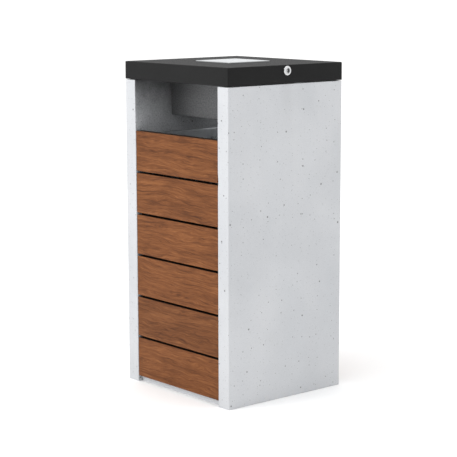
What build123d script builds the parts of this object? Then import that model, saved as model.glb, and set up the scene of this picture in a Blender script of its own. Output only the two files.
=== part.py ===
from build123d import *
import os
from math import sqrt

# Outdoor litter bin with an ashtray in its lid, in millimetres.
# X runs across the front, Y from the front (-) to the rear (+), Z up from the floor.

# Overall sizes
lid_width = 490
lid_depth = 450
overall_height = 1000  # floor to the top of the lid sheet

# Concrete body
panel_thickness = 48
lid_overhang = 1  # lid past the concrete, all round
concrete_chamfer = 2
base_thickness = 45
toe_thickness = 16  # thin front and rear edge of the slab, under the slats
toe_setback = 16  # toe behind the front edge of the side panels
drain_radius = 15
drain_spacing = 140
anchor_spacing_x = 200
anchor_spacing_y = 140
anchor_hole_radius = 7

# Timber slats and the angles that carry them
slat_count = 6
slat_gap = 7
slat_thickness = 25
slat_setback = 1  # slat face behind the front edge of the side panels
slat_end_gap = 1
slat_floor_gap = 19
slat_edge_radius = 1.5
slat_clearance = 3  # slab behind the slats
deposit_height = 155  # opening between the top slat and the panel tops
angle_leg = 30
angle_thickness = 3
angle_end_gap = 5
angle_bolt_count = 4
slat_screw_inset = 18
slat_screw_margin = 20  # from the end of the stretch that the angle holds
slat_screw_radius = 2.5
slat_screw_length = 22
slat_screw_head_radius = 5
slat_screw_head_height = 3.5

# Brackets and bolts between slab and side panels
bracket_leg = 50
bracket_width = 60
bracket_thickness = 5
bracket_bolt_offset = 30  # bolt centre from the bracket's outer corner
bracket_y = 110
bolt_radius = 4
bolt_length = 32
bolt_head_flats = 13
bolt_head_height = 5.3
bolt_hole_radius = 4.5
washer_radius = 8
washer_thickness = 1.6
socket_radius = 7
socket_length = 38
thread_clearance = 0.05

# Lid
skirt_height = 54
lid_sheet = 2
lid_corner_radius = 3
return_flange = 25
pad_radius = 9
pad_thickness = 2
pad_inset = 14  # pad centre inside the edge of the lid
pad_spacing_y = 360
stiffener_width = 16
stiffener_height = 20
stiffener_gap = 4  # stiffener beside the flange of the ash housing
stiffener_end_gap = 12

# Ash housing, ash pan and stub grid
housing_side_gap = 20  # housing to side panel
housing_depth = 200
housing_drop = 168  # lid top to the bottom of the housing
housing_sheet = 1.5
housing_flange = 12
pan_width = 143
pan_depth = 90
pan_sheet = 1.5
pan_flange_width = 162
pan_flange_height = 3
pan_clearance = 1.5
pan_corner_radius = 5
grid_thickness = 2
grid_overlap = 3.5  # grid past the inside of the pan on each side
grid_clearance = 0.5
grid_hole_radius = 6
grid_hole_pitch = 34
grid_hole_rows = 3

# Hinges on the left side of the body
hinge_y = 150
hinge_length = 80
hinge_leaf = 44
hinge_leaf_top_gap = 5  # lid leaf below the lid top
hinge_thickness = 3
hinge_setout = 7  # hinge axis outside the concrete
hinge_rise = 1  # hinge axis above the concrete
hinge_barrel_radius = 5
hinge_barrel_gap = 1  # flat of a leaf to the barrel
hinge_web_inset = 2  # web between leaf and barrel, from the hinge axis
hinge_pin_radius = 3
hinge_running_clearance = 0.05
hinge_knuckle = 28  # length of the middle knuckle
hinge_knuckle_gap = 0.4
hinge_pin_head = 2
hinge_pin_head_radius = 4
hinge_screw_spacing = 50
hinge_screw_radius = 3
hinge_screw_head_radius = 5
hinge_screw_head_height = 3.3
hinge_screw_length = 30
hinge_screw_setback = 27  # screw below or above the hinge axis
hinge_nut_height = 5
hinge_nut_flats = 10
hinge_bolt_past_nut = 2
lid_opening_angle = 120
stop_length = 14
stop_width = 24
stop_clearance = 0.3

# Lock in the right skirt and its keeper
lock_height = 37  # lock axis above the skirt's lower edge
lock_thread_radius = 11
lock_head_radius = 14
lock_head_height = 4
lock_head_edge_radius = 2.4
lock_length = 18  # body behind the skirt
lock_hole_clearance = 0.1
lock_nut_flats = 27
lock_nut_height = 5
barrel_radius = 7
barrel_clearance = 0.05
barrel_collar_radius = 8.3
barrel_collar_depth = 1.5
barrel_collar_thickness = 1.2
barrel_collar_clearance = 0.1
key_recess_radius = 5
key_recess_depth = 4
key_post_height = 3
key_triangle = 7
cam_thickness = 3
cam_width = 14
cam_reach = 29
cam_clearance = 6  # keeper's upright past the sweep of the cam
spigot_width = 6
cam_screw_head_radius = 5
cam_screw_head_height = 3
cam_screw_radius = 2
cam_screw_length = 10
keeper_thickness = 3
keeper_gap = 1  # keeper above the turned cam
keeper_width = 22
keeper_tab = 19
keeper_foot_length = 30
keeper_foot_width = 36
keeper_screw_spacing = 20
keeper_screw_length = 30
keeper_screw_radius = 3
keeper_screw_head_radius = 5
keeper_screw_head_height = 3.3
keeper_notch_margin = 7

# Liner
liner_side_gap = 16  # liner wall to side panel
liner_front_gap = 42  # liner wall to the back of the slats
liner_sheet = 1.5
liner_corner_radius = 12
rim_width = 6
rim_height = 6
rim_below_slats = 8
liner_floor_gap = 20
foot_radius = 15
foot_inset = 40
foot_gap = 10  # foot to base bracket
liner_drain_radius = 6
liner_drain_spacing = 120
bail_radius = 3.5
bail_width = 112  # between the legs' centre lines
bail_drop = 44
bail_bend = 5.25
bail_below_rim = 34
bail_standoff = 8.5  # bail centre line inside the liner wall
bail_clearance = 0.08
lug_thickness = 4
lug_radius = 8
lug_past_leg = 8

# Levels and faces worked out from the sizes above
half_width = lid_width / 2 - lid_overhang
half_depth = lid_depth / 2 - lid_overhang
inner_x = half_width - panel_thickness
lid_bottom = overall_height - skirt_height
panel_top = lid_bottom - pad_thickness
slats_top = panel_top - deposit_height
slat_height = (slats_top - slat_floor_gap + slat_gap) / slat_count - slat_gap
slat_front = half_depth - slat_setback
slat_back = slat_front - slat_thickness
hinge_x = -half_width - hinge_setout
hinge_z = panel_top + hinge_rise
lock_z = lid_bottom + lock_height
skirt_inner_x = lid_width / 2 - lid_sheet
lid_ceiling = overall_height - lid_sheet
cam_x = skirt_inner_x - lock_length
housing_width = 2 * (inner_x - housing_side_gap)
housing_bottom = overall_height - housing_drop
pan_inner = pan_width - 2 * pan_sheet
grid_recess = pan_inner + 2 * grid_overlap + 2 * grid_clearance
liner_x = inner_x - liner_side_gap
liner_y = slat_back - liner_front_gap
liner_top = slats_top - rim_below_slats
liner_bottom = base_thickness + liner_floor_gap
bail_x = liner_x - liner_sheet - bail_standoff
bail_z = liner_top - bail_below_rim


def block(x, y, z):
    """Box between a low and a high limit on each axis."""
    limits = (x, y, z)
    return Pos(*[(a + b) / 2 for a, b in limits]) * Box(*[b - a for a, b in limits])


def centred(width, depth, z):
    """Box centred on the Z axis, between two levels."""
    return block((-width / 2, width / 2), (-depth / 2, depth / 2), z)


def rod(start, direction, radius, length):
    """Cylinder that grows from start along direction."""
    place = Plane(origin=start, z_dir=direction)
    return place * Cylinder(radius, length, align=(Align.CENTER, Align.CENTER, Align.MIN))


def hexagon_rod(start, direction, flats, length):
    """Hexagonal prism that grows from start along direction."""
    place = Plane(origin=start, x_dir=(0, 0, 1) if direction[2] == 0 else (1, 0, 0), z_dir=direction)
    return extrude(place * RegularPolygon(flats / 2, 6, major_radius=False, rotation=30), length)


def along(start, direction, distance):
    """Point at a distance from start along direction."""
    return tuple(s + distance * d for s, d in zip(start, direction))


def save(shapes, node):
    """Write one node's solids to its own file."""
    shapes = shapes if isinstance(shapes, list) else [shapes]
    solids = [solid for shape in shapes for solid in shape.solids()]
    export_step(solids[0] if len(solids) == 1 else Compound(children=solids), f"parts/{node}.step")


# ---- where the fasteners go: face point and the direction into the material ----

def bracket_points():
    """Bolt seats of the four base brackets, on the brackets' own faces."""
    points = []
    for side in (-1, 1):
        for y in (-bracket_y, bracket_y):
            wall = side * (inner_x - bracket_thickness)
            points.append(((wall, y, base_thickness + bracket_bolt_offset), (side, 0, 0)))
            seat = (side * (inner_x - bracket_bolt_offset), y, base_thickness + bracket_thickness)
            points.append((seat, (0, 0, -1)))
    return points


def angle_bolt_levels():
    """Heights of the bolts that hold each slat angle, spread over the slats."""
    rows = [round(i * (slat_count - 1) / (angle_bolt_count - 1)) for i in range(angle_bolt_count)]
    return [sum(held_span(row)) / 2 for row in rows]


def angle_points():
    """Bolt seats of the four slat angles, on their side legs."""
    points = []
    for side in (-1, 1):
        for face in (-1, 1):
            for z in angle_bolt_levels():
                seat = side * (inner_x - angle_thickness)
                points.append(((seat, face * (slat_back - slat_screw_inset), z), (side, 0, 0)))
    return points


def hinge_screw_points(level):
    """Screw seats on the outer faces of the hinge leaves at one level."""
    offsets = (-hinge_screw_spacing / 2, hinge_screw_spacing / 2)
    return [(y + dy, level) for y in (-hinge_y, hinge_y) for dy in offsets]


def keeper_screw_points():
    """Screw seats on the keeper's foot."""
    x = skirt_inner_x - keeper_notch_margin - keeper_foot_width / 2
    y = keeper_web_y() + keeper_thickness + keeper_foot_length / 2
    z = panel_top + keeper_thickness
    return [(x + dx, y, z) for dx in (-keeper_screw_spacing / 2, keeper_screw_spacing / 2)]


# ---- concrete ----

def side_panel(side):
    """Cast side panel with its edges chamfered and its cast-in and drilled holes."""
    x = sorted((side * inner_x, side * half_width))
    panel = chamfer(block(x, (-half_depth, half_depth), (0, panel_top)).edges(), concrete_chamfer)
    for seat, direction in bracket_points() + angle_points():
        if direction[0] == side:
            mouth = (side * inner_x, seat[1], seat[2])
            panel -= rod(mouth, direction, socket_radius, socket_length)
    if side < 0:
        for y, z in hinge_screw_points(hinge_z - hinge_screw_setback):
            depth = hinge_screw_length - hinge_thickness
            panel -= rod((-half_width, y, z), (1, 0, 0), hinge_screw_radius + thread_clearance, depth)
    else:
        for x, y, _ in keeper_screw_points():
            depth = keeper_screw_length - keeper_thickness
            panel -= rod((x, y, panel_top), (0, 0, -1), keeper_screw_radius + thread_clearance, depth)
    return panel


def base_slab():
    """Floor slab between the side panels, rebated under the slats, with drain and anchor holes."""
    behind_slats = 2 * (slat_back - slat_clearance)
    toe = 2 * (half_depth - toe_setback)
    slab = centred(2 * inner_x, behind_slats, (0, base_thickness))
    slab += centred(2 * inner_x, toe, (0, toe_thickness))
    for x in (-drain_spacing / 2, drain_spacing / 2):
        slab -= rod((x, 0, 0), (0, 0, 1), drain_radius, base_thickness)
    for x in (-anchor_spacing_x / 2, anchor_spacing_x / 2):
        for y in (-anchor_spacing_y / 2, anchor_spacing_y / 2):
            slab -= rod((x, y, 0), (0, 0, 1), anchor_hole_radius, base_thickness)
    for seat, direction in bracket_points():
        if direction[2] < 0:
            slab -= rod((seat[0], seat[1], base_thickness), direction, socket_radius, socket_length)
    return slab


# ---- timber and the steel that joins the body ----

def slat_span(row):
    """Lower and upper edge of a slat, counted from the bottom."""
    low = slat_floor_gap + row * (slat_height + slat_gap)
    return (low, low + slat_height)


def angle_span():
    """Lower and upper end of the slat angles."""
    return (base_thickness + angle_end_gap, slats_top - angle_end_gap)


def held_span(row):
    """Stretch of a slat that has the angle behind it."""
    return (max(slat_span(row)[0], angle_span()[0]), min(slat_span(row)[1], angle_span()[1]))


def slat(row, face):
    """One planed slat with rounded long edges and pilot holes in its back."""
    half = inner_x - slat_end_gap
    board = block((-half, half), sorted((face * slat_back, face * slat_front)), slat_span(row))
    board = fillet(board.edges().filter_by(Axis.X), slat_edge_radius)
    for x, y, level in slat_screw_points(row, face):
        mouth = (x, face * slat_back, level)
        board -= rod(mouth, (0, face, 0), slat_screw_radius, slat_screw_length - angle_thickness)
    return board


def slat_screw_points(row, face):
    """Screw seats of one slat, on the front legs of its two angles."""
    seat = face * (slat_back - angle_thickness)
    levels = (held_span(row)[0] + slat_screw_margin, held_span(row)[1] - slat_screw_margin)
    return [(side * (inner_x - slat_screw_inset), seat, z) for side in (-1, 1) for z in levels]


def slat_screws():
    """Pan-head screws driven into the slats from behind."""
    screws = []
    for face in (-1, 1):
        for row in range(slat_count):
            for seat in slat_screw_points(row, face):
                shank = rod(seat, (0, face, 0), slat_screw_radius, slat_screw_length)
                head = rod(seat, (0, -face, 0), slat_screw_head_radius, slat_screw_head_height)
                screws.append(shank + head)
    return screws


def slat_angle(side, face):
    """Steel angle up the corner: one leg bolted to the concrete, one screwed to the slats."""
    z = angle_span()
    y = face * slat_back
    wide = block(sorted((side * inner_x, side * (inner_x - angle_leg))),
                 sorted((y, y - face * angle_thickness)), z)
    deep = block(sorted((side * inner_x, side * (inner_x - angle_thickness))),
                 sorted((y, y - face * angle_leg)), z)
    angle = wide + deep
    for row in range(slat_count):
        for x, seat, level in slat_screw_points(row, face):
            if x * side > 0:
                angle -= rod((x, seat, level), (0, face, 0), slat_screw_radius, angle_thickness)
    for seat, direction in angle_points():
        if direction[0] == side and seat[1] * face > 0:
            angle -= rod(seat, direction, bolt_hole_radius, angle_thickness)
    return angle


def base_bracket(side, y):
    """Bent angle bracket between the slab and a side panel."""
    across = (y - bracket_width / 2, y + bracket_width / 2)
    foot = block(sorted((side * inner_x, side * (inner_x - bracket_leg))), across,
                 (base_thickness, base_thickness + bracket_thickness))
    wall = block(sorted((side * inner_x, side * (inner_x - bracket_thickness))), across,
                 (base_thickness, base_thickness + bracket_leg))
    bracket = foot + wall
    for seat, direction in bracket_points():
        if seat[0] * side > 0 and seat[1] == y:
            bracket -= rod(seat, direction, bolt_hole_radius, bracket_thickness)
    return bracket


def frame_bolts():
    """Hexagon bolts of the brackets and the slat angles."""
    bolts = []
    for seat, direction in bracket_points() + angle_points():
        back = tuple(-d for d in direction)
        face = along(seat, back, washer_thickness)
        head = hexagon_rod(face, back, bolt_head_flats, bolt_head_height)
        bolts.append(rod(face, direction, bolt_radius, bolt_length) + head)
    return bolts


def frame_washers():
    """Flat washers under the bolt heads."""
    washers = []
    for seat, direction in bracket_points() + angle_points():
        back = tuple(-d for d in direction)
        disc = rod(seat, back, washer_radius, washer_thickness)
        washers.append(disc - rod(seat, back, bolt_hole_radius, washer_thickness))
    return washers


def cast_sockets():
    """Threaded sleeves cast into the concrete, which the bolts screw into."""
    seats = [(seat, direction, bracket_thickness) for seat, direction in bracket_points()]
    seats += [(seat, direction, angle_thickness) for seat, direction in angle_points()]
    sleeves = []
    for seat, direction, depth in seats:
        mouth = along(seat, direction, depth)
        sleeve = rod(mouth, direction, socket_radius, socket_length)
        sleeves.append(sleeve - rod(mouth, direction, bolt_radius + thread_clearance, bolt_length))
    return sleeves


# ---- lid ----

def lid_shell():
    """Folded sheet lid with a deep skirt, a return flange and cut-outs for pan, lock and hinges."""
    lid = centred(lid_width, lid_depth, (lid_bottom, overall_height))
    edges = lid.edges().filter_by(Axis.Z) + lid.faces().sort_by(Axis.Z)[-1].edges()
    lid = fillet(edges, lid_corner_radius)
    inner_width = lid_width - 2 * lid_sheet
    inner_depth = lid_depth - 2 * lid_sheet
    lid -= centred(inner_width, inner_depth, (lid_bottom + lid_sheet, lid_ceiling))
    lid -= centred(inner_width - 2 * return_flange, inner_depth - 2 * return_flange,
                   (lid_bottom, lid_bottom + lid_sheet))
    opening = pan_width + 2 * pan_clearance
    lid -= centred(opening, opening, (lid_ceiling, overall_height))
    lid -= rod((skirt_inner_x, 0, lock_z), (1, 0, 0), lock_thread_radius + lock_hole_clearance, lid_sheet)
    for y, z in hinge_screw_points(hinge_z + hinge_screw_setback):
        lid -= rod((-lid_width / 2, y, z), (1, 0, 0), hinge_screw_radius + thread_clearance, lid_sheet)
    notch_y = (keeper_web_y() - keeper_tab - keeper_notch_margin,
               keeper_web_y() + keeper_thickness + keeper_foot_length + keeper_notch_margin)
    notch_x = (skirt_inner_x - return_flange, skirt_inner_x)
    lid -= block(notch_x, notch_y, (lid_bottom, lid_bottom + lid_sheet))
    return lid


def lid_pads():
    """Thin rubber discs on the side panels that the return flange rests on."""
    x = lid_width / 2 - pad_inset
    return [rod((side * x, y, panel_top), (0, 0, 1), pad_radius, pad_thickness)
            for side in (-1, 1) for y in (-pad_spacing_y / 2, pad_spacing_y / 2)]


def lid_stiffener(side):
    """Welded channel under the lid top beside the ash housing."""
    near = housing_width / 2 + housing_flange + stiffener_gap
    x = sorted((side * near, side * (near + stiffener_width)))
    half = lid_depth / 2 - lid_sheet - stiffener_end_gap
    channel = block(x, (-half, half), (lid_ceiling - stiffener_height, lid_ceiling))
    hollow = block((x[0] + lid_sheet, x[1] - lid_sheet), (-half, half),
                   (lid_ceiling - stiffener_height + lid_sheet, lid_ceiling))
    return channel - hollow


def ash_housing():
    """Open sheet box welded under the lid, which shields the ash pan and guides the litter down."""
    box = centred(housing_width, housing_depth, (housing_bottom, lid_ceiling))
    box += centred(housing_width + 2 * housing_flange, housing_depth + 2 * housing_flange,
                   (lid_ceiling - housing_sheet, lid_ceiling))
    return box - centred(housing_width - 2 * housing_sheet, housing_depth - 2 * housing_sheet,
                         (housing_bottom + housing_sheet, lid_ceiling))


def ash_pan():
    """Drop-in pan whose flange rests on the lid and carries the stub grid in a rebate."""
    top = overall_height + pan_flange_height
    flange = centred(pan_flange_width, pan_flange_width, (overall_height, top))
    flange = fillet(flange.edges().filter_by(Axis.Z), pan_corner_radius)
    pan = flange + centred(pan_width, pan_width, (overall_height - pan_depth, overall_height))
    pan -= centred(grid_recess, grid_recess, (top - grid_thickness, top))
    return pan - centred(pan_inner, pan_inner, (overall_height - pan_depth + pan_sheet, top))


def stub_grid():
    """Perforated plate that lies flush in the pan's flange."""
    top = overall_height + pan_flange_height
    width = grid_recess - 2 * grid_clearance
    grid = centred(width, width, (top - grid_thickness, top))
    first = -(grid_hole_rows - 1) / 2
    for i in range(grid_hole_rows):
        for j in range(grid_hole_rows):
            spot = ((first + i) * grid_hole_pitch, (first + j) * grid_hole_pitch, top - grid_thickness)
            grid -= rod(spot, (0, 0, 1), grid_hole_radius, grid_thickness)
    return grid


# ---- hinges ----

def hinge_knuckle_rod(low, high):
    """Barrel of a knuckle between two stations along Y, bored for the pin."""
    barrel = rod((hinge_x, low, hinge_z), (0, 1, 0), hinge_barrel_radius, high - low)
    bore = hinge_pin_radius + hinge_running_clearance
    return barrel - rod((hinge_x, low, hinge_z), (0, 1, 0), bore, high - low)


def hinge_leaf_body(y):
    """Leaf screwed to the left panel, with the two outer knuckles."""
    half = hinge_length / 2
    inner = hinge_knuckle / 2 + hinge_knuckle_gap
    low = hinge_z - hinge_barrel_radius - hinge_leaf
    root = hinge_z - hinge_barrel_radius - hinge_barrel_gap
    leaf = block((-half_width - hinge_thickness, -half_width), (y - half, y + half), (low, root))
    for a, b in ((y - half, y - inner), (y + inner, y + half)):
        throat = block((hinge_x + hinge_web_inset, -half_width), (a, b), (root, hinge_z - hinge_web_inset))
        bore = rod((hinge_x, a, hinge_z), (0, 1, 0), hinge_pin_radius + hinge_running_clearance, b - a)
        leaf += hinge_knuckle_rod(a, b) + (throat - bore)
    for sy, sz in hinge_screw_points(hinge_z - hinge_screw_setback):
        if abs(sy - y) < half:
            hole = hinge_screw_radius + thread_clearance
            leaf -= rod((-half_width, sy, sz), (-1, 0, 0), hole, hinge_thickness)
    return leaf


def hinge_leaf_lid(y):
    """Leaf bolted to the lid skirt, with the middle knuckle and the tongue that stops the lid."""
    half = hinge_length / 2
    face = -lid_width / 2
    root = hinge_z + hinge_barrel_radius + hinge_barrel_gap
    span = (y - hinge_knuckle / 2, y + hinge_knuckle / 2)
    high = overall_height - hinge_leaf_top_gap
    leaf = block((face - hinge_thickness, face), (y - half, y + half), (root, high))
    throat = block((hinge_x + hinge_web_inset, face), span, (hinge_z + hinge_web_inset, root))
    bore = rod((hinge_x, span[0], hinge_z), (0, 1, 0), hinge_pin_radius + hinge_running_clearance,
               hinge_knuckle)
    leaf += hinge_knuckle_rod(*span) + (throat - bore)
    # The tongue is drawn where it meets the body leaf, then turned back to the closed lid.
    stop_face = -half_width - hinge_thickness - stop_clearance
    tongue = block((stop_face - hinge_thickness, stop_face), (y - stop_width / 2, y + stop_width / 2),
                   (hinge_z - stop_length, hinge_z)) - bore
    closed = Axis((hinge_x, 0, hinge_z), (0, 1, 0))
    leaf += tongue.rotate(closed, lid_opening_angle)
    for sy, sz in hinge_screw_points(hinge_z + hinge_screw_setback):
        if abs(sy - y) < half:
            hole = hinge_screw_radius + thread_clearance
            leaf -= rod((face, sy, sz), (-1, 0, 0), hole, hinge_thickness)
    return leaf


def hinge_pin(y):
    """Pin through the knuckles with a head at each end."""
    half = hinge_length / 2
    pin = rod((hinge_x, y - half, hinge_z), (0, 1, 0), hinge_pin_radius, hinge_length)
    for start in (y - half - hinge_pin_head, y + half):
        pin += rod((hinge_x, start, hinge_z), (0, 1, 0), hinge_pin_head_radius, hinge_pin_head)
    return pin


def hinge_screws_body():
    """Screws that hold the body leaves to the concrete."""
    screws = []
    for y, z in hinge_screw_points(hinge_z - hinge_screw_setback):
        seat = (-half_width - hinge_thickness, y, z)
        head = rod(seat, (-1, 0, 0), hinge_screw_head_radius, hinge_screw_head_height)
        screws.append(rod(seat, (1, 0, 0), hinge_screw_radius, hinge_screw_length) + head)
    return screws


def hinge_bolts_lid():
    """Bolts through the lid leaves and the skirt."""
    bolts = []
    length = hinge_thickness + lid_sheet + hinge_nut_height + hinge_bolt_past_nut
    for y, z in hinge_screw_points(hinge_z + hinge_screw_setback):
        seat = (-lid_width / 2 - hinge_thickness, y, z)
        head = rod(seat, (-1, 0, 0), hinge_screw_head_radius, hinge_screw_head_height)
        bolts.append(rod(seat, (1, 0, 0), hinge_screw_radius, length) + head)
    return bolts


def hinge_nuts():
    """Nuts of the lid hinge bolts, inside the skirt."""
    nuts = []
    for y, z in hinge_screw_points(hinge_z + hinge_screw_setback):
        face = (-skirt_inner_x, y, z)
        nut = hexagon_rod(face, (1, 0, 0), hinge_nut_flats, hinge_nut_height)
        nuts.append(nut - rod(face, (1, 0, 0), hinge_screw_radius + thread_clearance, hinge_nut_height))
    return nuts


# ---- lock ----

def keeper_web_y():
    """Front of the keeper's upright, just past the sweep of the cam."""
    return sqrt(cam_reach ** 2 + (cam_width / 2) ** 2) + cam_clearance


def lock_body():
    """Threaded lock housing with a round head outside the skirt."""
    outer = lid_width / 2
    body = rod((cam_x, 0, lock_z), (1, 0, 0), lock_thread_radius, lock_length + lid_sheet)
    head = rod((outer, 0, lock_z), (1, 0, 0), lock_head_radius, lock_head_height)
    rim = head.edges().filter_by(GeomType.CIRCLE).sort_by(Axis.X)[-1]
    body += fillet(rim, lock_head_edge_radius)
    reach = lock_length + lid_sheet + lock_head_height
    body -= rod((cam_x, 0, lock_z), (1, 0, 0), barrel_radius + barrel_clearance, reach)
    recess = (outer + lock_head_height - barrel_collar_depth, 0, lock_z)
    return body - rod(recess, (1, 0, 0), barrel_collar_radius + barrel_collar_clearance, barrel_collar_depth)


def lock_nut():
    """Hexagon nut that clamps the lock to the skirt."""
    start = (skirt_inner_x - lock_nut_height, 0, lock_z)
    nut = hexagon_rod(start, (1, 0, 0), lock_nut_flats, lock_nut_height)
    return nut - rod(start, (1, 0, 0), lock_thread_radius + thread_clearance, lock_nut_height)


def lock_barrel():
    """Turning barrel with a triangular key post in front and a square spigot for the cam."""
    collar_x = lid_width / 2 + lock_head_height - barrel_collar_depth
    barrel = rod((cam_x, 0, lock_z), (1, 0, 0), barrel_radius, collar_x - cam_x)
    barrel += rod((collar_x, 0, lock_z), (1, 0, 0), barrel_collar_radius, barrel_collar_thickness)
    front = collar_x + barrel_collar_thickness
    barrel -= rod((front - key_recess_depth, 0, lock_z), (1, 0, 0), key_recess_radius, key_recess_depth)
    post = Plane(origin=(front - key_recess_depth, 0, lock_z), x_dir=(0, 0, 1), z_dir=(1, 0, 0))
    barrel += extrude(post * RegularPolygon(key_triangle / sqrt(3), 3), key_post_height)
    half = spigot_width / 2
    barrel += block((cam_x - cam_thickness, cam_x), (-half, half), (lock_z - half, lock_z + half))
    tip = (cam_x - cam_thickness, 0, lock_z)
    return barrel - rod(tip, (1, 0, 0), cam_screw_radius + thread_clearance, cam_screw_length)


def lock_cam():
    """Flat cam on the barrel, hanging down when the lid is unlocked."""
    x = (cam_x - cam_thickness, cam_x)
    half = cam_width / 2
    arm = block(x, (-half, half), (lock_z - cam_reach, lock_z))
    arm += rod((cam_x, 0, lock_z), (-1, 0, 0), half, cam_thickness)
    square = spigot_width / 2
    return arm - block(x, (-square, square), (lock_z - square, lock_z + square))


def cam_screw():
    """Screw that holds the cam on the spigot."""
    seat = (cam_x - cam_thickness, 0, lock_z)
    head = rod(seat, (-1, 0, 0), cam_screw_head_radius, cam_screw_head_height)
    return rod(seat, (1, 0, 0), cam_screw_radius, cam_screw_length) + head


def lock_keeper():
    """Bent strip on the right panel with the tab that the cam turns under."""
    middle = cam_x - cam_thickness / 2
    x = (middle - keeper_width / 2, middle + keeper_width / 2)
    web = keeper_web_y()
    tab_z = lock_z + cam_width / 2 + keeper_gap
    keeper = block(x, (web, web + keeper_thickness), (panel_top, tab_z + keeper_thickness))
    keeper += block(x, (web - keeper_tab, web + keeper_thickness), (tab_z, tab_z + keeper_thickness))
    outer = skirt_inner_x - keeper_notch_margin
    keeper += block((outer - keeper_foot_width, outer), (web, web + keeper_thickness + keeper_foot_length),
                    (panel_top, panel_top + keeper_thickness))
    for seat in keeper_screw_points():
        keeper -= rod(seat, (0, 0, -1), keeper_screw_radius + thread_clearance, keeper_thickness)
    return keeper


def keeper_screws():
    """Screws that hold the keeper to the top of the panel."""
    screws = []
    for seat in keeper_screw_points():
        head = rod(seat, (0, 0, 1), keeper_screw_head_radius, keeper_screw_head_height)
        screws.append(rod(seat, (0, 0, -1), keeper_screw_radius, keeper_screw_length) + head)
    return screws


# ---- liner ----

def liner():
    """Sheet bucket with an outward rim and drain holes in its floor."""
    def shape(x, y, z, radius):
        return fillet(centred(2 * x, 2 * y, z).edges().filter_by(Axis.Z), radius)

    bucket = shape(liner_x, liner_y, (liner_bottom, liner_top), liner_corner_radius)
    bucket += shape(liner_x + rim_width, liner_y + rim_width, (liner_top - rim_height, liner_top),
                    liner_corner_radius + rim_width)
    bucket -= shape(liner_x - liner_sheet, liner_y - liner_sheet, (liner_bottom + liner_sheet, liner_top),
                    liner_corner_radius - liner_sheet)
    half = liner_drain_spacing / 2
    for x in (-half, half):
        for y in (-half, half):
            bucket -= rod((x, y, liner_bottom), (0, 0, 1), liner_drain_radius, liner_sheet)
    return bucket


def liner_feet():
    """Rubber feet under the liner."""
    x = liner_x - foot_inset
    y = liner_y - foot_inset
    # The feet stand between the base brackets, on the bare slab.
    inside = min(x, inner_x - bracket_leg - foot_radius - foot_gap)
    return [rod((i * inside, j * y, base_thickness), (0, 0, 1), foot_radius, liner_floor_gap)
            for i in (-1, 1) for j in (-1, 1)]


def lug_stations():
    """Y of the lugs of a bail, outside its legs."""
    y = bail_width / 2 + lug_past_leg
    return (-y - lug_thickness / 2, y - lug_thickness / 2)


def bail_lugs():
    """Welded lugs inside the liner that the bails turn in."""
    lugs = []
    wall = liner_x - liner_sheet
    for side in (-1, 1):
        for y in lug_stations():
            span = (y, y + lug_thickness)
            height = (bail_z - lug_radius, bail_z + lug_radius)
            lug = rod((side * bail_x, y, bail_z), (0, 1, 0), lug_radius, lug_thickness)
            lug += block(sorted((side * bail_x, side * wall)), span, height)
            lug -= block(sorted((side * wall, side * liner_x)), span, height)
            hole = bail_radius + bail_clearance
            lugs.append(lug - rod((side * bail_x, y, bail_z), (0, 1, 0), hole, lug_thickness))
    return lugs


def bail(side):
    """Round wire handle with its ends turned out through the lugs, hanging down."""
    leg = bail_width / 2
    end = leg + lug_past_leg + lug_thickness
    x = side * bail_x
    points = [(x, -end, bail_z), (x, -leg, bail_z), (x, -leg, bail_z - bail_drop),
              (x, leg, bail_z - bail_drop), (x, leg, bail_z), (x, end, bail_z)]
    path = FilletPolyline(*points, radius=bail_bend)
    return sweep(Plane(origin=points[0], z_dir=(0, 1, 0)) * Circle(bail_radius), path)


def main():
    os.makedirs("parts", exist_ok=True)
    for side, name in ((-1, "left"), (1, "right")):
        save(side_panel(side), f"side_panel_{name}")
        save(lid_stiffener(side), f"lid_stiffener_{name}")
        save(bail(side), f"bail_{name}")
        for face, end in ((-1, "front"), (1, "rear")):
            save(slat_angle(side, face), f"slat_angle_{end}_{name}")
            save(base_bracket(side, face * bracket_y), f"base_bracket_{end}_{name}")
    for face, end in ((-1, "front"), (1, "rear")):
        for row in range(slat_count):
            save(slat(row, face), f"slat_{end}_{row + 1}")
        save(hinge_leaf_body(face * hinge_y), f"hinge_leaf_body_{end}")
        save(hinge_leaf_lid(face * hinge_y), f"hinge_leaf_lid_{end}")
        save(hinge_pin(face * hinge_y), f"hinge_pin_{end}")
    for make in (base_slab, slat_screws, frame_bolts, frame_washers, cast_sockets, lid_shell, lid_pads,
                 ash_housing, ash_pan, stub_grid, hinge_screws_body, hinge_bolts_lid, hinge_nuts,
                 lock_body, lock_nut, lock_barrel, lock_cam, cam_screw, lock_keeper, keeper_screws,
                 liner, liner_feet, bail_lugs):
        save(make(), make.__name__)


main()
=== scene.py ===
from math import cos, pi, radians, sin

import bmesh
import bpy
import numpy as np
from mathutils import Matrix, Vector


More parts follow.
